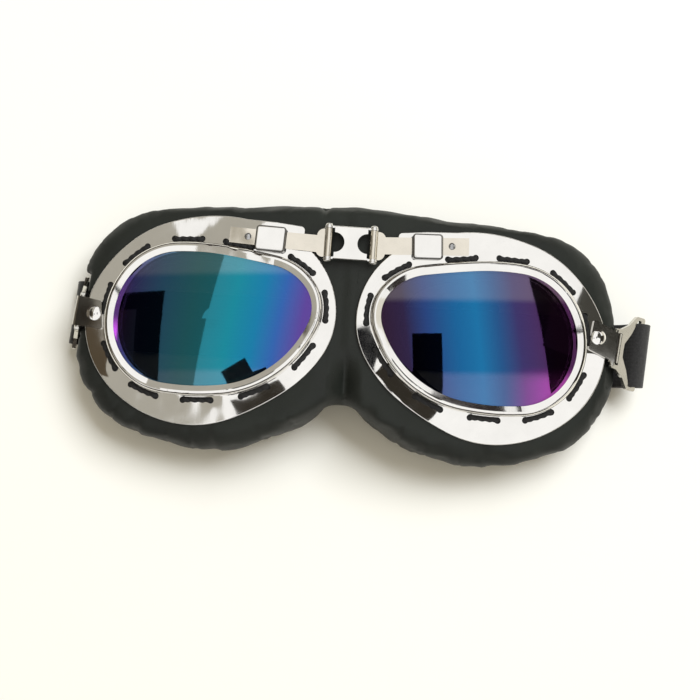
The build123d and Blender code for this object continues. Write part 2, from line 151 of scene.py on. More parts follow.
class StudioSettings(bpy.types.PropertyGroup):
    distance: FloatProperty(
        name="Camera distance",
        description="From the camera to the middle of the goggles",
        default=0.42,
        unit="LENGTH",
    )
    tilt: FloatProperty(
        name="Camera tilt",
        description="How far the camera leans from straight above, towards the chin edge",
        default=radians(5.0),
        subtype="ANGLE",
    )
    turn: FloatProperty(
        name="Camera turn",
        description="How far the goggles look turned clockwise",
        default=radians(3.8),
        subtype="ANGLE",
    )


# Nodes and materials


def new_material(name):
    """A new material, its node tree, its shader and its object coordinates."""
    material = bpy.data.materials.new(name)
    material.use_nodes = True
    tree = material.node_tree
    shader = tree.nodes["Principled BSDF"]
    place = tree.nodes.new("ShaderNodeTexCoord").outputs["Object"]
    return material, tree, shader, place


def add_node(tree, kind, settings=None, **inputs):
    """Adds one shader node; sockets are given by name and linked or set."""
    made = tree.nodes.new("ShaderNode" + kind)
    for key, value in (settings or {}).items():
        setattr(made, key, value)
    for key, value in inputs.items():
        socket = made.inputs[key.replace("_", " ")]
        if isinstance(value, bpy.types.NodeSocket):
            tree.links.new(value, socket)
        else:
            socket.default_value = value
    return made


def maths(tree, kind, operation, *values):
    """Output of a Math or VectorMath node whose inputs are linked or set, in order."""
    made = add_node(tree, kind, {"operation": operation})
    for socket, value in zip(made.inputs, values):
        if isinstance(value, bpy.types.NodeSocket):
            tree.links.new(value, socket)
        else:
            socket.default_value = value
    return made.outputs["Value" if kind == "Math" or operation == "DOT_PRODUCT" else "Vector"]


def noise_of(tree, place, scale, detail=3.0, roughness=0.5, stretch=None):
    """Noise value; scale is in waves per metre, and stretch thins it along an axis."""
    if stretch:
        place = add_node(tree, "Mapping", Vector=place, Scale=stretch).outputs[0]
    made = add_node(
        tree, "TexNoise", Vector=place, Scale=scale, Detail=detail, Roughness=roughness
    )
    return made.outputs["Fac"]


def ramp(tree, value, stops):
    """Colour or value picked from stops of (position, colour)."""
    made = add_node(tree, "ValToRGB", Fac=value)
    bar = made.color_ramp.elements
    for index, (position, colour) in enumerate(stops):
        stop = bar[index] if index < 2 else bar.new(position)
        stop.position = position
        grey = (colour,) * 3 if isinstance(colour, float) else colour
        stop.color = (*grey, 1.0)
    return made.outputs[0]


def bumped(tree, shader, heights):
    """Stacks heights of (value, strength, distance) on the shader's normal."""
    normal = None
    for value, strength, distance in heights:
        made = add_node(
            tree, "Bump", Height=value, Strength=strength, Distance=distance
        )
        if normal:
            tree.links.new(normal, made.inputs["Normal"])
        normal = made.outputs[0]
    tree.links.new(normal, shader.inputs["Normal"])


def chrome_material(name, colour, side=1.0):
    """Bright plating over pressed sheet: faint waves, hairlines and smears.

    Rounded edges and sides get painted shade: their colour is dimmed to the given share.
    """
    material, tree, shader, place = new_material(name)
    shader.inputs["Metallic"].default_value = 1.0
    smear = noise_of(tree, place, 90.0, 4.0, 0.6)
    tone = ramp(
        tree,
        smear,
        [(0.3, tuple(c * 0.93 for c in colour)), (0.7, tuple(colour))],
    )
    # Painted shade: the colour is darker on faces that turn away from +Z.
    if side < 1.0:
        facing = tree.nodes.new("ShaderNodeTexCoord").outputs["Normal"]
        level = add_node(tree, "SeparateXYZ", Vector=facing).outputs["Z"]
        painted_edge_shade = ramp(tree, level, [(0.86, side), (0.975, 1.0)])
        tone = maths(tree, "VectorMath", "MULTIPLY", tone, painted_edge_shade)
    tree.links.new(tone, shader.inputs["Base Color"])
    haze = ramp(tree, noise_of(tree, place, 60.0, 5.0, 0.65), [(0.35, 0.035), (0.75, 0.13)])
    tree.links.new(haze, shader.inputs["Roughness"])
    wave = noise_of(tree, place, 38.0, 1.5)
    hairline = noise_of(tree, place, 900.0, 2.0, 0.6, (1.0, 0.05, 1.0))
    bumped(tree, shader, [(wave, 0.6, 0.003), (hairline, 0.03, 0.0001)])
    return material


def nickel_material(name, colour, rough):
    """Plain nickel plate on the pressed small parts, duller than the frames' chrome."""
    material, tree, shader, place = new_material(name)
    shader.inputs["Metallic"].default_value = 1.0
    tone = ramp(
        tree,
        noise_of(tree, place, 120.0, 4.0, 0.6),
        [(0.3, tuple(c * 0.9 for c in colour)), (0.7, colour)],
    )
    tree.links.new(tone, shader.inputs["Base Color"])
    haze = ramp(
        tree, noise_of(tree, place, 160.0, 4.0, 0.6), [(0.3, rough), (0.8, rough * 1.7)]
    )
    tree.links.new(haze, shader.inputs["Roughness"])
    wave = noise_of(tree, place, 60.0, 1.0)
    grain = noise_of(tree, place, 1400.0, 2.0, 0.6, (0.06, 1.0, 1.0))
    bumped(tree, shader, [(wave, 0.5, 0.002), (grain, 0.04, 0.0001)])
    return material


def steel_material():
    """Duller steel of the small rivets."""
    material, tree, shader, place = new_material("dull steel")
    shader.inputs["Metallic"].default_value = 1.0
    tone = ramp(tree, noise_of(tree, place, 300.0, 4.0), [(0.3, 0.46), (0.7, 0.62)])
    tree.links.new(tone, shader.inputs["Base Color"])
    haze = ramp(tree, noise_of(tree, place, 500.0, 3.0), [(0.3, 0.16), (0.8, 0.34)])
    tree.links.new(haze, shader.inputs["Roughness"])
    bumped(tree, shader, [(noise_of(tree, place, 1500.0), 0.15, 0.0001)])
    return material


def smooth_mask(tree, value, low, high):
    """0 below low, 1 above high, with a soft edge; swapped, it falls instead."""
    soft = {"interpolation_type": "SMOOTHSTEP"}
    return add_node(tree, "MapRange", soft, Value=value, From_Min=low, From_Max=high).outputs[0]


def added(tree, colour, mask, extra):
    """Colour plus an extra colour where the mask is 1."""
    more = ramp(tree, mask, [(0.0, (0.0, 0.0, 0.0)), (1.0, extra)])
    return maths(tree, "VectorMath", "ADD", colour, more)


def show_smoke(tree, shader):
    """Lets a little light through the coating, as smoked plastic does."""
    smoke = add_node(tree, "BsdfTransparent", Color=(0.28, 0.28, 0.27, 1.0))
    both = add_node(tree, "AddShader")
    tree.links.new(shader.outputs[0], both.inputs[0])
    tree.links.new(smoke.outputs[0], both.inputs[1])
    tree.links.new(both.outputs[0], tree.nodes["Material Output"].inputs[0])


def tints_across(tree, place, spot, stops, lift):
    """Tints picked by X; lift slants them up the lens, and a slow noise makes them drift."""
    drift = add_node(
        tree, "MapRange", Value=noise_of(tree, place, 14.0, 1.0), To_Min=-0.004, To_Max=0.004
    )
    slant = maths(tree, "Math", "MULTIPLY_ADD", spot["Y"], lift, drift.outputs[0])
    along = maths(tree, "Math", "ADD", spot["X"], slant)
    low, high = stops[0][0], stops[-1][0]
    share = add_node(tree, "MapRange", Value=along, From_Min=low, From_Max=high)
    spread = [((x - low) / (high - low), colour) for x, colour in stops]
    return ramp(tree, share.outputs[0], spread)


def mirror_material(name, stops, lift, painted_reflection_heights, painted_highlight):
    """Mirror coating on smoked plastic, tinted across the lens, with painted reflection.

    The fourth argument gives the heights where paler painted reflection begins above and below,
    on lines that lie level as the camera sees them. The last argument is a painted highlight, a
    patch of extra colour: where it starts and ends on X, its upper edge and its colour.
    """
    material, tree, shader, place = new_material(name)
    shader.inputs["Metallic"].default_value = 1.0
    show_smoke(tree, shader)
    spot = add_node(tree, "SeparateXYZ", Vector=place).outputs
    tint = tints_across(tree, place, spot, stops, lift)
    height = maths(tree, "VectorMath", "DOT_PRODUCT", place, (-0.066, 1.0, 0.0))
    below, above = painted_reflection_heights
    # Painted reflection: paler colour added above and below the given heights.
    upper = smooth_mask(tree, height, above - 0.001, above + 0.002)
    tint = added(tree, tint, upper, (0.068, 0.062, 0.056))
    lower = smooth_mask(tree, height, below + 0.001, below - 0.002)
    tint = added(tree, tint, lower, (0.052, 0.036, 0.048))
    # Painted highlight: extra colour added in the patch that the last argument gives.
    start, end, foot, glow = painted_highlight
    reach = smooth_mask(tree, spot["X"], start, end)
    low_part = smooth_mask(tree, height, foot + 0.005, foot - 0.002)
    painted_highlight_mask = maths(tree, "Math", "MULTIPLY", reach, low_part)
    tint = added(tree, tint, painted_highlight_mask, glow)
    tree.links.new(tint, shader.inputs["Base Color"])
    wiped = ramp(tree, noise_of(tree, place, 45.0, 4.0, 0.6), [(0.4, 0.015), (0.8, 0.05)])
    tree.links.new(wiped, shader.inputs["Roughness"])
    bumped(tree, shader, [(noise_of(tree, place, 20.0, 1.0), 0.03, 0.0005)])
    return material


def leather_material(colour):
    """Soft leather cloth: fine pebble grain, drawn creases and a dull sheen."""
    material, tree, shader, place = new_material("black leather cloth")
    patch = noise_of(tree, place, 40.0, 5.0, 0.6)
    tone = ramp(
        tree,
        patch,
        [(0.3, tuple(c * 0.75 for c in colour)), (0.7, tuple(c * 1.3 for c in colour))],
    )
    tree.links.new(tone, shader.inputs["Base Color"])
    grain = add_node(tree, "TexVoronoi", Vector=place, Scale=1500.0)
    pebble = ramp(tree, grain.outputs["Distance"], [(0.0, 0.0), (0.6, 1.0)])
    gloss = ramp(tree, patch, [(0.3, 0.46), (0.75, 0.62)])
    tree.links.new(gloss, shader.inputs["Roughness"])
    shader.inputs["Specular IOR Level"].default_value = 0.38
    crease = noise_of(tree, place, 150.0, 5.0, 0.55)
    bumped(tree, shader, [(crease, 0.22, 0.0006), (pebble, 0.15, 0.0001)])
    return material


def webbing_material(colour):
    """Elastic webbing: ribs along the strap, crossed by the weave."""
    material, tree, shader, place = new_material("woven elastic webbing")
    ribs = add_node(
        tree, "TexWave", {"bands_direction": "Y"}, Vector=place, Scale=230.0, Distortion=0.6
    )
    weave = add_node(
        tree, "TexWave", {"bands_direction": "X"}, Vector=place, Scale=520.0, Distortion=0.8
    )
    fuzz = noise_of(tree, place, 1800.0, 4.0, 0.7)
    tone = ramp(
        tree, fuzz, [(0.3, tuple(colour)), (0.75, tuple(c * 3.2 for c in colour))]
    )
    tree.links.new(tone, shader.inputs["Base Color"])
    shader.inputs["Roughness"].default_value = 0.88
    shader.inputs["Sheen Weight"].default_value = 0.25
    shader.inputs["Sheen Roughness"].default_value = 0.5
    bumped(
        tree,
        shader,
        [
            (ribs.outputs["Fac"], 0.25, 0.0002),
            (weave.outputs["Fac"], 0.18, 0.00015),
            (fuzz, 0.2, 0.0001),
        ],
    )
    return material


def thread_material():
    """Waxed black thread."""
    material, tree, shader, place = new_material("waxed black thread")
    fibre = noise_of(tree, place, 2600.0, 4.0, 0.7)
    tone = ramp(tree, fibre, [(0.3, (0.004, 0.004, 0.004)), (0.8, (0.022, 0.022, 0.023))])
    tree.links.new(tone, shader.inputs["Base Color"])
    shader.inputs["Roughness"].default_value = 0.62
    bumped(tree, shader, [(fibre, 0.4, 0.00012)])
    return material


def plastic_material():
    """Black moulded plastic with a faint spark finish."""
    material, tree, shader, place = new_material("black moulded plastic")
    spark = noise_of(tree, place, 2200.0, 3.0)
    tone = ramp(tree, spark, [(0.3, (0.012, 0.012, 0.012)), (0.8, (0.024, 0.024, 0.024))])
    tree.links.new(tone, shader.inputs["Base Color"])
    rough = ramp(tree, noise_of(tree, place, 160.0), [(0.3, 0.28), (0.8, 0.46)])
    tree.links.new(rough, shader.inputs["Roughness"])
    bumped(tree, shader, [(spark, 0.12, 0.0001)])
    return material


def paint(piece, material):
    """Gives a piece its only material."""
    piece.data.materials.clear()
    piece.data.materials.append(material)


# Modelling helpers


def only(piece):
    """Selects one piece and nothing else."""
    bpy.ops.object.select_all(action="DESELECT")
    piece.select_set(True)
    bpy.context.view_layer.objects.active = piece


def finish_mesh(piece, angle):
    """Merges doubles, turns faces outward and shades smooth below an angle in degrees."""
    only(piece)
    bpy.ops.object.mode_set(mode="EDIT")
    bpy.ops.mesh.select_all(action="SELECT")
    bpy.ops.mesh.remove_doubles(threshold=1e-6)
    bpy.ops.mesh.normals_make_consistent(inside=False)
    bpy.ops.object.mode_set(mode="OBJECT")
    bpy.ops.object.shade_smooth_by_angle(angle=radians(angle))


def apply_modifier(piece, name, kind, **settings):
    """Adds a modifier and applies it."""
    only(piece)
    made = piece.modifiers.new(name, kind)
    for key, value in settings.items():
        setattr(made, key, value)
    bpy.ops.object.modifier_apply(modifier=made.name)


def copy_of(node, name):
    """A free copy of a CAD node's mesh, to be reshaped."""
    only(NODES[node])
    bpy.ops.object.duplicate()
    piece = bpy.context.active_object
    piece.name = name
    piece.parent = None
    piece.matrix_world = Matrix.Identity(4)
    for key in [k for k in piece.keys() if k.startswith("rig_")]:
        del piece[key]
    piece.hide_render = False
    return piece


def side_of(point):
    """1 for a point of the right eye, -1 for one of the left."""
    return 1.0 if point.x > 0 else -1.0


def eye_normal(side):
    """Direction out of one eye's plane."""
    return Vector((side * sin(WRAP), 0, cos(WRAP)))


def eye_height(point, side):
    """Height of a point above the hinge, square to one eye's plane."""
    x = point.x * side
    return (x - HINGE.x) * sin(WRAP) + (point.z - HINGE.z) * cos(WRAP)


# Leather


def soft_step(low, high, value):
    """0 below low, 1 above high, and a smooth rise between."""
    share = min(1.0, max(0.0, (value - low) / (high - low)))
    return share * share * (3.0 - 2.0 * share)


def nose_pad():
    """Padding that bridges the gap over the nose, rounded at both ends like the cushions."""
    width, low, thick = 0.011, 0.0200, 0.0070
    bpy.ops.object.select_all(action="DESELECT")
    bpy.ops.mesh.primitive_cube_add(size=1.0)
    pad = bpy.context.active_object
    bpy.ops.object.mode_set(mode="EDIT")
    bpy.ops.mesh.select_all(action="SELECT")
    bpy.ops.mesh.subdivide(number_cuts=9)
    bpy.ops.object.mode_set(mode="OBJECT")
    for vertex in pad.data.vertices:
        up = vertex.co.z + 0.5
        rounded = up ** 1.6
        chin = -0.0288 + 0.0043 * rounded
        brow = 0.0462 - 0.0050 * rounded
        y = chin + (brow - chin) * (vertex.co.y + 0.5)
        vertex.co = (vertex.co.x * width, y, low + thick * up)
    return pad


def puff_up(leather, pressure, held, limit):
    """Lets the cloth swell over the foam; held points stay, others move up to limit."""
    steps = 16
    group = leather.vertex_groups.new(name="held")
    group.add(held, 1.0, "REPLACE")
    rest = [v.co.copy() for v in leather.data.vertices]
    cloth = leather.modifiers.new("swell", "CLOTH")
    cloth.settings.use_pressure = True
    cloth.settings.uniform_pressure_force = pressure
    cloth.settings.vertex_group_mass = "held"
    cloth.settings.shrink_min = -0.015
    cloth.settings.quality = 6
    cloth.settings.mass = 0.15
    cloth.settings.effector_weights.gravity = 0.0
    cloth.collision_settings.use_collision = False
    cloth.point_cache.frame_start = 1
    cloth.point_cache.frame_end = steps
    scene = bpy.context.scene
    for step in range(1, steps + 1):
        scene.frame_set(step)
    only(leather)
    bpy.ops.object.modifier_apply(modifier=cloth.name)
    scene.frame_set(1)
    leather.vertex_groups.clear()
    for vertex, start in zip(leather.data.vertices, rest):
        move = vertex.co - start
        if move.length > limit:
            vertex.co = start + move * (limit / move.length)


def gather_share(point, normal, out):
    """How much a point of the cloth takes part in the gathers.

    They lie on the outer walls, fade out at the floor and the nose, and are weaker
    towards the brow.
    """
    outside = max(0.0, normal.x * out.x + normal.y * out.y) / max(out.length, 1e-6)
    share = min(1.0, outside * 1.6) * min(1.0, point.z / 0.009)
    share *= soft_step(0.002, 0.014, abs(point.x))
    share *= 1.2 - 0.75 * soft_step(-0.010, 0.030, point.y)
    return share


def gather(leather, depth, count):
    """Draws the cloth into soft, uneven gathers and a few sharper creases round the edge."""
    eye_centre = 0.050
    normals = [v.normal.copy() for v in leather.data.vertices]
    for vertex, normal in zip(leather.data.vertices, normals):
        side = side_of(vertex.co)
        out = Vector((vertex.co.x - eye_centre * side, vertex.co.y * 1.15, 0.0))
        turn = atan2(out.y, out.x)
        round_about = Vector((cos(turn) * 2.2, sin(turn) * 2.2, side * 5.0))
        fold = 1.5 * noise.noise(round_about * (count / 8.0))
        fold += 0.8 * noise.noise(round_about * (count / 16.0) + Vector((0, 0, 7.0)))
        lump = noise.noise(vertex.co * 55.0)
        line = noise.noise(round_about * 2.2 + Vector((vertex.co.z * 25.0, 0, 0)))
        crease = -1.6 * max(0.0, 1.0 - abs(line) * 9.0)
        share = gather_share(vertex.co, normal, out)
        vertex.co += normal * (depth * share * (fold + lump + crease + 0.5))


def ease_nose(leather):
    """Evens out the cloth over the nose, where the padding and the cushions meet."""
    group = leather.vertex_groups.new(name="nose")
    for vertex in leather.data.vertices:
        share = 1.0 - soft_step(0.0080, 0.0150, abs(vertex.co.x))
        share *= soft_step(0.013, 0.019, vertex.co.z)
        if share > 0:
            group.add([vertex.index], share, "REPLACE")
    apply_modifier(leather, "ease", "SMOOTH", factor=0.6, iterations=9, vertex_group="nose")
    leather.vertex_groups.clear()


def nose_folds(leather):
    """Soft ridge over the nose, the dark fold below it and the nick at the brow."""
    ridge_height, ridge_reach = 0.0007, 0.0048
    fold_depth, fold_reach, fold_round = 0.0048, 0.0070, 0.0006
    nick_depth, nick_reach, nick_at = 0.0018, 0.0028, -0.0102
    for vertex in leather.data.vertices:
        x, y, z = vertex.co
        near = 1.0 - soft_step(0.0090, 0.0135, abs(x))
        if near <= 0 or z < 0.017:
            continue
        sway = 0.0008 * noise.noise(Vector((y * 40.0, 1.0, 2.0)))
        ridge = ridge_height * (1.0 - soft_step(0.0, ridge_reach, abs(x - 0.0014 + sway)))
        ridge *= soft_step(-0.016, -0.006, y)
        away = sqrt((x - 0.0004 + sway) ** 2 + fold_round ** 2) - fold_round
        fold = fold_depth * max(0.0, 1.0 - away / fold_reach) ** 2
        fold *= soft_step(0.007, 0.022, -y)
        vertex.co.z += near * (ridge - fold)
        nick = nick_depth * max(0.0, 1.0 - abs(x - nick_at) / nick_reach) ** 2
        vertex.co.y -= nick * soft_step(0.034, 0.042, y)


def ring_room(name):
    """Origin and axes of the room that a strap ring needs at the bottom of its swing."""
    joint = JOINTS[f"ring_hinge_{name}"]
    along = Vector(joint["axis"]) * SIDES[name]
    low = RING_LOW[name]
    down = Vector((SIDES[name] * cos(low), 0, -sin(low)))
    down = (down - along * down.dot(along)).normalized()
    away = along.cross(down) * -SIDES[name]
    return Vector(joint["pos_m"]), down, along, away


def ring_roof(down, along):
    """How high cloth may reach under a ring's plate, its bracket's roll and its strap."""
    roof = 1.0
    if down > -0.0016 and abs(along) < 0.0150:
        roof = -0.0014
    if down > -0.0030 and abs(along) < 0.0068:
        roof = -0.0026
    if down > 0.0090 and abs(along) < 0.0136:
        roof = -0.0032
    return roof


def keep_clear(leather):
    """Holds the cloth under the flanges and the link, off the floor and off the rings."""
    link_room = 0.0004
    rooms = {side: ring_room(name) for name, side in SIDES.items()}
    for vertex in leather.data.vertices:
        side = side_of(vertex.co)
        top = CLOTH_TOP - link_room * (1.0 - soft_step(0.006, 0.011, abs(vertex.co.x)))
        over = eye_height(vertex.co, side) - top
        if over > 0:
            vertex.co.z -= over / cos(WRAP)
        origin, down, along, away = rooms[side]
        spot = vertex.co - origin
        roof = ring_roof(spot.dot(down), spot.dot(along))
        over = spot.dot(away) - roof
        if over > 0:
            vertex.co -= away * over
        vertex.co.z = max(vertex.co.z, 0.0)


def cut_from(leather, name, cuts):
    """Copy of the leather, cut at places on X: what lies on the far side of each goes."""
    only(leather)
    bpy.ops.object.duplicate()
    piece = bpy.context.active_object
    piece.name = name
    bpy.ops.object.mode_set(mode="EDIT")
    for place, way in cuts:
        bpy.ops.mesh.select_all(action="SELECT")
        bpy.ops.mesh.bisect(
            plane_co=(place, 0, 0), plane_no=(way, 0, 0), use_fill=True, clear_outer=True
        )
    bpy.ops.object.mode_set(mode="OBJECT")
    return piece


def keep_sheen(piece, whole):
    """Gives a cut piece the whole leather's shading, so that the cut does not show."""
    normals = {"use_loop_data": True, "data_types_loops": {"CUSTOM_NORMAL"}}
    nearest = {"object": whole, "loop_mapping": "POLYINTERP_NEAREST"}
    apply_modifier(piece, "sheen", "DATA_TRANSFER", **nearest, **normals)


class GOGGLES_OT_leather(bpy.types.Operator):
    """Leather face cushions and nose piece, puffed over their foam and gathered at the edge"""

    bl_idname = "goggles.leather"
    bl_label = "Cushions and nose piece"

    def execute(self, context):
        cloth_voxel, swell_limit = 0.0022, 0.0009
        settings = context.scene.goggles_leather
        material = leather_material(settings.colour)
        leather = nose_pad()
        shells = [copy_of(f"cushion_{name}", "shell") for name in SIDES]
        only(leather)
        for shell in shells:
            shell.select_set(True)
        bpy.ops.object.join()
        leather.data.remesh_voxel_size = cloth_voxel
        bpy.ops.object.voxel_remesh()
        held = [
            v.index
            for v in leather.data.vertices
            if eye_height(v.co, side_of(v.co)) > CLOTH_HELD or v.co.z < 0.0006
        ]
        puff_up(leather, settings.swell, held, swell_limit)
        apply_modifier(leather, "even", "SMOOTH", factor=0.5, iterations=3)
        ease_nose(leather)
        apply_modifier(leather, "round", "SUBSURF", levels=1, render_levels=1)
        gather(leather, settings.pucker, settings.gathers)
        nose_folds(leather)
        keep_clear(leather)
        for name, side in SIDES.items():
            cushion = cut_from(leather, f"leather_cushion_{name}", [(side * SEAM, -side)])
            half = cut_from(leather, f"leather_nose_{name}", [(side * SEAM, side), (0, -side)])
            for piece in (cushion, half):
                finish_mesh(piece, 60.0)
                keep_sheen(piece, leather)
                paint(piece, material)
            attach(cushion, f"eye_{name}")
            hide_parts(f"cushion_{name}")
            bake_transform(half)
            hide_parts("nose_gusset")
        bpy.data.objects.remove(leather)
        return {"FINISHED"}


# Stitches


def loose_parts(node):
    """Points and long direction of each loose part of a CAD node, whose faces are loose."""
    mesh = NODES[node].data
    spots = {}
    for vertex in mesh.vertices:
        spots.setdefault(tuple(round(c, 6) for c in vertex.co), len(spots))
    owner = list(range(len(spots)))

    def root(index):
        while owner[index] != index:
            index = owner[index]
        return index

    ids = [spots[tuple(round(c, 6) for c in v.co)] for v in mesh.vertices]
    for edge in mesh.edges:
        a, b = (root(ids[i]) for i in edge.vertices)
        owner[a] = b
    parts = {}
    for spot, index in spots.items():
        parts.setdefault(root(index), []).append(Vector(spot))
    found = []
    for points in parts.values():
        centre = sum(points, Vector()) / len(points)
        far = max(points, key=lambda p: (p - centre).length)
        other = max(points, key=lambda p: (p - far).length)
        found.append((points, (far - other).normalized()))
    return sorted(found, key=lambda part: tuple(part[1]))


def twisted_stitch(length, thick):
    """One stitch: two plies twisted together, knotted at the holes where they go down."""
    cuts, ply_radius = 17, thick * 0.38
    half_turns, spread, lift, flat = 2.2, 0.08, 0.12, 0.45
    knot, knot_at, knot_reach = 0.32, 0.84, 0.20
    bpy.ops.object.select_all(action="DESELECT")
    for ply in (0, 1):
        bpy.ops.mesh.primitive_cylinder_add(
            vertices=8, radius=ply_radius, depth=length, rotation=(0, pi / 2, 0)
        )
        strand = bpy.context.active_object
        strand.name = f"ply_{ply}"
        bpy.ops.object.transform_apply(location=False, rotation=True, scale=False)
        bpy.ops.object.mode_set(mode="EDIT")
        for cut in range(cuts):
            at = length * ((cut + 1) / (cuts + 1) - 0.5)
            bpy.ops.mesh.select_all(action="SELECT")
            bpy.ops.mesh.bisect(plane_co=(at, 0, 0), plane_no=(1, 0, 0))
        bpy.ops.object.mode_set(mode="OBJECT")
        for vertex in strand.data.vertices:
            share = vertex.co.x / length * 2
            turn = share * pi * half_turns + ply * pi
            wide = 1.0 + knot * max(0.0, 1.0 - abs(abs(share) - knot_at) / knot_reach)
            vertex.co.y = vertex.co.y * wide + cos(turn) * thick * spread * wide
            vertex.co.z = vertex.co.z * flat * wide + sin(turn) * thick * lift
            vertex.co.z -= 0.0006 * abs(share) ** 8
    first, second = bpy.data.objects["ply_0"], bpy.data.objects["ply_1"]
    only(first)
    second.select_set(True)
    bpy.ops.object.join()
    return first


def lay_in_slot(stitch, points, along, side):
    """Lays a straight stitch along the bowed slot whose bar of thread has these points."""
    bar_width, eye_centre = 0.0012, 0.0495
    proud, outside = 0.00045, 0.0001
    normal = eye_normal(side)
    along = (along - normal * along.dot(normal)).normalized()
    across = normal.cross(along)
    outward = sum(points, Vector()) / len(points) - Vector((side * eye_centre, 0, 0))
    if across.dot(outward) < 0:
        across, along = -across, -along
    ends = [[p.dot(way) for p in points] for way in (along, across, normal)]
    low, high = zip(*((min(values), max(values)) for values in ends))
    middle = [(a + b) / 2 for a, b in zip(low, high)]
    bow = high[1] - low[1] - bar_width
    half = (high[0] - low[0]) / 2
    for vertex in stitch.data.vertices:
        x, y, z = vertex.co
        y += bow * (0.5 - (x / half) ** 2) + outside
        spot = along * (middle[0] + x) + across * (middle[1] + y)
        vertex.co = spot + normal * (middle[2] + proud + z)


def press_under(stitch, name):
    """Presses a stitch flat where the tongue or the bracket lies over it."""
    covers = [NODES[f"{kind}_{name}"] for kind in ("bridge_tongue", "strap_bracket")]
    normal = eye_normal(SIDES[name])
    for vertex in stitch.data.vertices:
        if any(cover.ray_cast(vertex.co - normal * 0.002, normal)[0] for cover in covers):
            over = eye_height(vertex.co, SIDES[name]) - COVER_BACK
            vertex.co -= normal * max(0.0, over)


class GOGGLES_OT_stitches(bpy.types.Operator):
    """Black thread in the sewing slots"""

    bl_idname = "goggles.stitches"
    bl_label = "Sewing thread"

    def execute(self, context):
        material = thread_material()
        pattern = twisted_stitch(STITCH_LENGTH, context.scene.goggles_finish.thread)
        for name, side in SIDES.items():
            copies = []
            for points, along in loose_parts(f"stitching_{name}"):
                only(pattern)
                bpy.ops.object.duplicate()
                stitch = context.active_object
                lay_in_slot(stitch, points, along, side)
                press_under(stitch, name)
                copies.append(stitch)
            bpy.ops.object.select_all(action="DESELECT")
            for stitch in copies:
                stitch.select_set(True)
            context.view_layer.objects.active = copies[0]
            bpy.ops.object.join()
            run = context.active_object
            run.name = f"sewing_thread_{name}"
            finish_mesh(run, 60.0)
            paint(run, material)
            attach(run, f"eye_{name}")
            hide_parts(f"stitching_{name}")
        bpy.data.objects.remove(pattern)
        return {"FINISHED"}


# Strap


def smooth_path(points):
    """Points about 1 mm apart on a smooth curve through x, z pairs."""
    step = 0.0011
    path = [Vector((x, 0.0, z)) for x, z in points]
    path = [path[0] * 2 - path[1]] + path + [path[-1] * 2 - path[-2]]
    fine = []
    for a, b, c, d in zip(path, path[1:], path[2:], path[3:]):
        cuts = max(1, round((c - b).length / step))
        for index in range(cuts):
            t = index / cuts
            bend = (2 * a - 5 * b + 4 * c - d) * t * t
            twist = (3 * b - a - 3 * c + d) * t ** 3
            fine.append(0.5 * (2 * b + (c - a) * t + bend + twist))
    return fine + [path[-2]]


def ribbon(name, points, slant=0.0, shift=0.0):
    """Length of webbing along a path of x, z pairs.

    Where it rises it slants with the ring, and near the ring it shifts to the ring's middle.
    """
    path = smooth_path(points)
    bpy.ops.object.select_all(action="DESELECT")
    bpy.ops.mesh.primitive_grid_add(x_subdivisions=len(path) - 1, y_subdivisions=12, size=1.0)
    piece = bpy.context.active_object
    piece.name = name
    for vertex in piece.data.vertices:
        at = round((vertex.co.x + 0.5) * (len(path) - 1))
        spot = path[at]
        risen = soft_step(0.0022, 0.0082, spot.z)
        aside = soft_step(0.0940, 0.1025, abs(spot.x))
        y = vertex.co.y * (STRAP_WIDTH - 0.0002)
        wave = 0.0001 * noise.noise(Vector((spot.x * 90, y * 90, spot.z * 90)))
        vertex.co = (spot.x + y * tan(slant) * risen, y + shift * aside, spot.z + wave)
    apply_modifier(piece, "thickness", "SOLIDIFY", thickness=STRAP_THICK, offset=0.0)
    bevel = {"width": 0.0003, "segments": 2, "limit_method": "ANGLE"}
    apply_modifier(piece, "rounding", "BEVEL", angle_limit=radians(60), **bevel)
    finish_mesh(piece, 50.0)
    return piece


# Runs of the strap as x, z pairs, all along the middle of the strap's width.
LEFT_RUN = [
    (-0.014, 0.0007),
    (-0.05, 0.0007),
    (-0.095, 0.0007),
    (-0.1000, 0.0011),
    (-0.1027, 0.0027),
    (-0.1037, 0.0047),
    (-0.1034, 0.0065),
    (-0.1022, 0.0076),
    (-0.1009, 0.0075),
    (-0.0999, 0.0064),
    (-0.1000, 0.0048),
    (-0.0990, 0.0033),
    (-0.0970, 0.0023),
    (-0.0930, 0.00215),
    (-0.072, 0.00215),
]
RIGHT_RUN = [
    (0.018, 0.0007),
    (0.06, 0.0007),
    (0.095, 0.0007),
    (0.1020, 0.0009),
    (0.1065, 0.0033),
    (0.1092, 0.0075),
    (0.1111, 0.0080),
    (0.1130, 0.0086),
    (0.1136, 0.0097),
    (0.1128, 0.0112),
    (0.1114, 0.0122),
    (0.1099, 0.0129),
    (0.1084, 0.0123),
    (0.1076, 0.0110),
    (0.1063, 0.0080),
    (0.1042, 0.0044),
    (0.1010, 0.0026),
    (0.0970, 0.00215),
    (0.0950, 0.00215),
]
WEAVE_RUN = [
    (0.0400, 0.0008),
    (0.0425, 0.0020),
    (0.0447, 0.0030),
    (0.0463, 0.0057),
    (0.0480, 0.0068),
    (0.0520, 0.0068),
    (0.0537, 0.0057),
    (0.0553, 0.0030),
    (0.0570, 0.0023),
    (0.0600, 0.00215),
    (0.0800, 0.00215),
    (0.0955, 0.00215),
]
TAIL_RUN = [
    (0.0476, 0.0030),
    (0.0474, 0.0046),
    (0.0487, 0.0053),
    (0.0513, 0.0053),
    (0.0526, 0.0046),
    (0.0524, 0.0030),
]


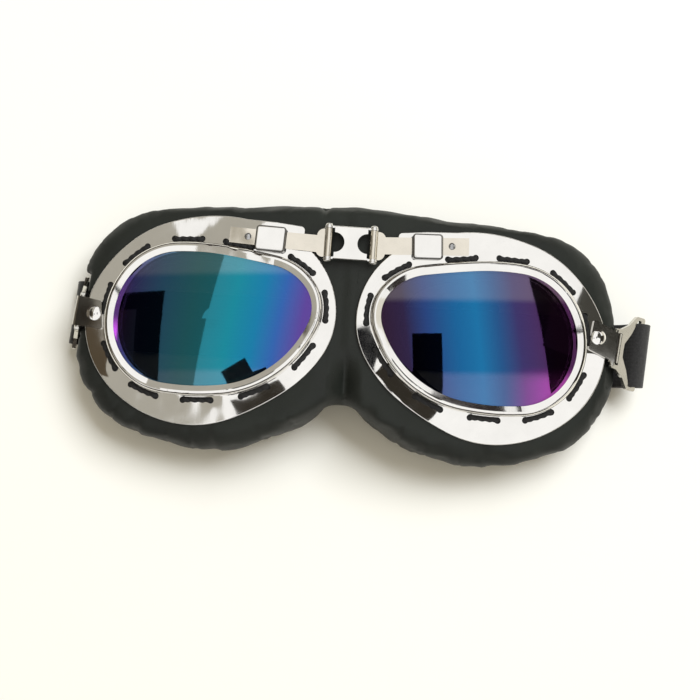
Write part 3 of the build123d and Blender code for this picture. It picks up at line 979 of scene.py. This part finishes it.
class GOGGLES_OT_strap(bpy.types.Operator):
    """Elastic strap from ring to ring, with its slider's weave"""

    bl_idname = "goggles.strap"
    bl_label = "Elastic strap"

    def execute(self, context):
        material = webbing_material(context.scene.goggles_finish.webbing)
        left = ribbon("strap_left", LEFT_RUN, RING_SLANT["left"], 0.0008)
        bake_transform(left)
        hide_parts("strap_band_left", "strap_loop_left")
        # The wide fold at the right ring turns a little less than the ring does.
        right = ribbon("strap_right", RIGHT_RUN, RING_SLANT["right"] * 0.7, -0.0021)
        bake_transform(right)
        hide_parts("strap_band_right", "strap_return_right", "strap_loop_right")
        pieces = [left, right]
        for name, run in (("left", LEFT_RUN), ("right", RIGHT_RUN)):
            end, low = run[0]
            middle = ribbon(f"strap_middle_{name}", [(0.0, low), (end / 2, low), (end, low)])
            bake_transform(middle)
            pieces.append(middle)
        weave = ribbon("strap_weave", WEAVE_RUN)
        tail = ribbon("strap_tail_fold", TAIL_RUN)
        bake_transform(weave)
        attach(tail, "slider")
        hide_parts("strap_tail")
        pieces += [weave, tail]
        for piece in pieces:
            paint(piece, material)
        return {"FINISHED"}


# Finishes of the CAD nodes


# Tints across each lens: place on X and colour.
LEFT_TINTS = [
    (-0.087, (0.13, 0.035, 0.20)),
    (-0.081, (0.055, 0.05, 0.20)),
    (-0.070, (0.035, 0.12, 0.24)),
    (-0.058, (0.028, 0.175, 0.225)),
    (-0.043, (0.012, 0.23, 0.30)),
    (-0.033, (0.012, 0.19, 0.36)),
    (-0.025, (0.035, 0.12, 0.39)),
    (-0.016, (0.11, 0.06, 0.30)),
]
RIGHT_TINTS = [
    (0.013, (0.030, 0.013, 0.030)),
    (0.022, (0.028, 0.018, 0.055)),
    (0.030, (0.022, 0.055, 0.19)),
    (0.040, (0.012, 0.115, 0.29)),
    (0.048, (0.013, 0.155, 0.345)),
    (0.056, (0.020, 0.085, 0.23)),
    (0.064, (0.045, 0.035, 0.13)),
    (0.078, (0.075, 0.022, 0.085)),
]


class GOGGLES_OT_finishes(bpy.types.Operator):
    """Chrome, mirror coating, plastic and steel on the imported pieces"""

    bl_idname = "goggles.finishes"
    bl_label = "Finishes"

    def execute(self, context):
        plating = context.scene.goggles_finish.chrome
        chrome = chrome_material("bright chrome plating", plating)
        plastic = plastic_material()
        steel = steel_material()
        plated = {
            # The keeper boxes get painted shade on their rounded sides.
            "tongue_keeper": chrome_material("box chrome plating with painted edge shade", plating, 0.22),
            "bridge_tongue": nickel_material("cream nickel", (0.86, 0.80, 0.69), 0.09),
            "strap_bracket": nickel_material("grey nickel", (0.55, 0.53, 0.49), 0.16),
            "strap_ring": nickel_material("ring nickel", (0.70, 0.68, 0.62), 0.14),
        }
        mirrors = {
            "left": mirror_material(
                "mirror coating and painted reflection, left",
                LEFT_TINTS,
                -0.12,
                (-0.0156, 0.0191),
                (-0.0834, -0.0846, 0.0005, (0.62, 0.09, 0.82)),
            ),
            "right": mirror_material(
                "mirror coating and painted reflection, right",
                RIGHT_TINTS,
                0.22,
                (-0.0167, 0.0092),
                (0.058, 0.080, -0.019, (0.24, 0.005, 0.22)),
            ),
        }
        paint(NODES["bridge_link"], chrome)
        paint(NODES["strap_slider"], plastic)
        for name in SIDES:
            for kind in CHROMED:
                paint(NODES[f"{kind}_{name}"], chrome)
            for kind, material in plated.items():
                paint(NODES[f"{kind}_{name}"], material)
            paint(NODES[f"tongue_rivet_{name}"], steel)
            paint(NODES[f"lens_retainer_{name}"], plastic)
            paint(NODES[f"lens_{name}"], mirrors[name])
        for node in NODES.values():
            if not node.hide_render:
                only(node)
                bpy.ops.object.shade_smooth_by_angle(angle=radians(32.0))
        return {"FINISHED"}


# Studio


DARK = (0.012, 0.012, 0.013)
SHADE = (0.032, 0.028, 0.022)
LEVEL = (0.0, 0.0, 0.0)
UPRIGHT = (pi / 2, 0.0, pi / 2)


def spun(angle):
    """Turn of a level card about Z, by degrees."""
    return (0.0, 0.0, radians(angle))


# Each card's name, size, place, turn and colour. The first five hang high and show in the
# lenses. The others are low, each near one edge of the metal, and show only there.
CARDS = (
    ("narrow card", (0.078, 0.160), (0.0965, -0.020, 0.60), spun(5), DARK),
    ("small card", (0.076, 0.082), (-0.155, -0.090, 0.60), spun(33), DARK),
    ("left card", (0.185, 0.315), (-0.497, -0.012, 0.60), LEVEL, DARK),
    ("right card", (0.3, 1.6), (0.617, 0.01, 0.61), spun(15), (0.035, 0.03, 0.03)),
    ("pale card", (0.9, 1.6), (-0.703, 0.17, 0.61), spun(-9), (0.42, 0.40, 0.35)),
    ("left shade", (0.016, 0.030), (-0.1125, -0.0075, 0.06), LEVEL, (0.085, 0.065, 0.042)),
    ("right shade", (0.030, 0.034), (0.1135, 0.0155, 0.06), spun(-12), (0.060, 0.058, 0.050)),
    ("nose shade", (0.020, 0.009), (-0.0385, -0.0270, 0.06), spun(24), SHADE),
    ("cheek shade", (0.026, 0.0065), (0.0277, -0.0212, 0.045), spun(-38), SHADE),
    ("ring shade", (0.018, 0.044), (-0.1170, 0.0030, 0.045), LEVEL, SHADE),
    ("right rim shade", (0.070, 0.060), (0.170, -0.002, 0.070), UPRIGHT, SHADE),
    ("left rim shade", (0.060, 0.070), (-0.170, -0.002, 0.06), UPRIGHT, (0.16, 0.14, 0.11)),
)
# The walls stand round the table. The one on the right is pale.
WALL_SIZE = (3.0, 1.0)
WALL_AWAY = 1.5
WALL_MIDDLE = 0.40
WALL_TONE = (0.06, 0.05, 0.042)
PALE_WALL = (0.75, 0.72, 0.64)


def table_material(colour):
    """White table with a little unevenness."""
    material, tree, shader, place = new_material("white table")
    tone = ramp(
        tree,
        noise_of(tree, place, 6.0, 3.0),
        [(0.3, tuple(c * 0.985 for c in colour)), (0.7, colour)],
    )
    tree.links.new(tone, shader.inputs["Base Color"])
    shader.inputs["Roughness"].default_value = 0.9
    return material


def card(name, size, place, turn, colour):
    """Dull card that only reflections see, as a photographer sets round bright metal."""
    bpy.ops.object.select_all(action="DESELECT")
    bpy.ops.mesh.primitive_plane_add(size=1.0, location=place, rotation=turn)
    board = bpy.context.active_object
    board.name = name
    board.scale = (*size, 1.0)
    board.visible_camera = False
    board.visible_diffuse = False
    board.visible_shadow = False
    board.visible_transmission = False
    material = bpy.data.materials.new(name)
    material.use_nodes = True
    tree = material.node_tree
    tree.nodes.remove(tree.nodes["Principled BSDF"])
    glow = add_node(tree, "Emission", Color=(*colour, 1.0), Strength=1.0)
    tree.links.new(glow.outputs[0], tree.nodes["Material Output"].inputs[0])
    paint(board, material)


def light_room(scene):
    """Pale room that looks white where it is seen, and a soft window at the upper right."""
    world = bpy.data.worlds.new("pale room")
    scene.world = world
    world.use_nodes = True
    tree = world.node_tree
    room = tree.nodes["Background"]
    room.inputs["Color"].default_value = (1.0, 0.92, 0.73, 1.0)
    room.inputs["Strength"].default_value = 0.50
    white = add_node(tree, "Background", Color=(1, 1, 1, 1), Strength=1.0)
    rays = add_node(tree, "LightPath").outputs
    seen = maths(tree, "Math", "MAXIMUM", rays["Is Camera Ray"], rays["Is Glossy Ray"])
    seen = maths(tree, "Math", "MAXIMUM", seen, rays["Is Transmission Ray"])
    mix = add_node(tree, "MixShader", Fac=seen)
    tree.links.new(room.outputs[0], mix.inputs[1])
    tree.links.new(white.outputs[0], mix.inputs[2])
    tree.links.new(mix.outputs[0], tree.nodes["World Output"].inputs[0])
    lamp = bpy.data.lights.new("soft window", "AREA")
    lamp.shape = "RECTANGLE"
    lamp.size = 1.8
    lamp.size_y = 1.4
    lamp.energy = 70.0
    lamp.color = (0.95, 0.985, 1.0)
    window = bpy.data.objects.new("soft window", lamp)
    scene.collection.objects.link(window)
    window.location = (1.0, 1.25, 2.0)
    window.rotation_mode = "QUATERNION"
    window.rotation_quaternion = (-window.location).to_track_quat("-Z", "Y")
    window.visible_camera = False
    window.visible_glossy = False


def hang_cards():
    """Reflection cards, and walls round the table."""
    for name, size, place, turn, colour in CARDS:
        card(name, size, place, turn, colour)
    for index in range(4):
        turn = index * pi / 2
        place = (WALL_AWAY * sin(turn), -WALL_AWAY * cos(turn), WALL_MIDDLE)
        tone = PALE_WALL if index == 1 else WALL_TONE
        card(f"wall_{index}", WALL_SIZE, place, (pi / 2, 0, turn), tone)


def set_camera(scene, settings):
    """Camera over the goggles, seen as in the photo."""
    target = Vector((0.0022, -0.0083, 0.025))
    half_view = 0.12775
    data = bpy.data.cameras.new("camera")
    data.sensor_width = 36.0
    data.lens = data.sensor_width / 2 * settings.distance / half_view
    data.clip_start = 0.01
    data.clip_end = 20.0
    camera = bpy.data.objects.new("camera", data)
    scene.collection.objects.link(camera)
    scene.camera = camera
    right = Vector((cos(settings.turn), sin(settings.turn), 0))
    up = Vector((-sin(settings.turn), cos(settings.turn), 0))
    back = Vector((0, 0, 1)) * cos(settings.tilt) - up * sin(settings.tilt)
    top = back.cross(right)
    camera.location = target + back * settings.distance
    camera.rotation_mode = "QUATERNION"
    camera.rotation_quaternion = Matrix((right, top, back)).transposed().to_quaternion()


class GOGGLES_OT_studio(bpy.types.Operator):
    """White table, soft light from the upper right, reflection cards and camera"""

    bl_idname = "goggles.studio"
    bl_label = "Studio"

    def execute(self, context):
        scene = context.scene
        bpy.ops.object.select_all(action="DESELECT")
        bpy.ops.mesh.primitive_plane_add(size=4.0, location=(0, 0, -0.0001))
        floor = context.active_object
        floor.name = "white_table"
        paint(floor, table_material((0.93, 0.92, 0.895)))
        scene.view_settings.view_transform = "Standard"
        light_room(scene)
        hang_cards()
        set_camera(scene, scene.goggles_studio)
        return {"FINISHED"}


class GOGGLES_PT_panel(bpy.types.Panel):
    """Lists the pieces and their settings"""

    bl_idname = "GOGGLES_PT_panel"
    bl_label = "Aviator goggles"
    bl_space_type = "VIEW_3D"
    bl_region_type = "UI"
    bl_category = "Goggles"

    def draw(self, context):
        scene = context.scene
        groups = (scene.goggles_leather, scene.goggles_finish, scene.goggles_studio)
        for group in groups:
            box = self.layout.box()
            for name in group.__annotations__:
                box.prop(group, name)
        for operator in OPERATORS:
            self.layout.operator(operator.bl_idname)


OPERATORS = (
    GOGGLES_OT_leather,
    GOGGLES_OT_stitches,
    GOGGLES_OT_strap,
    GOGGLES_OT_finishes,
    GOGGLES_OT_studio,
)
CLASSES = (LeatherSettings, FinishSettings, StudioSettings, *OPERATORS, GOGGLES_PT_panel)


def register():
    for item in CLASSES:
        bpy.utils.register_class(item)
    bpy.types.Scene.goggles_leather = PointerProperty(type=LeatherSettings)
    bpy.types.Scene.goggles_finish = PointerProperty(type=FinishSettings)
    bpy.types.Scene.goggles_studio = PointerProperty(type=StudioSettings)


def unregister():
    del bpy.types.Scene.goggles_leather
    del bpy.types.Scene.goggles_finish
    del bpy.types.Scene.goggles_studio
    for item in reversed(CLASSES):
        bpy.utils.unregister_class(item)


def main():
    register()
    bpy.ops.goggles.leather()
    bpy.ops.goggles.stitches()
    bpy.ops.goggles.strap()
    bpy.ops.goggles.finishes()
    bpy.ops.goggles.studio()


if __name__ == "__main__":
    main()
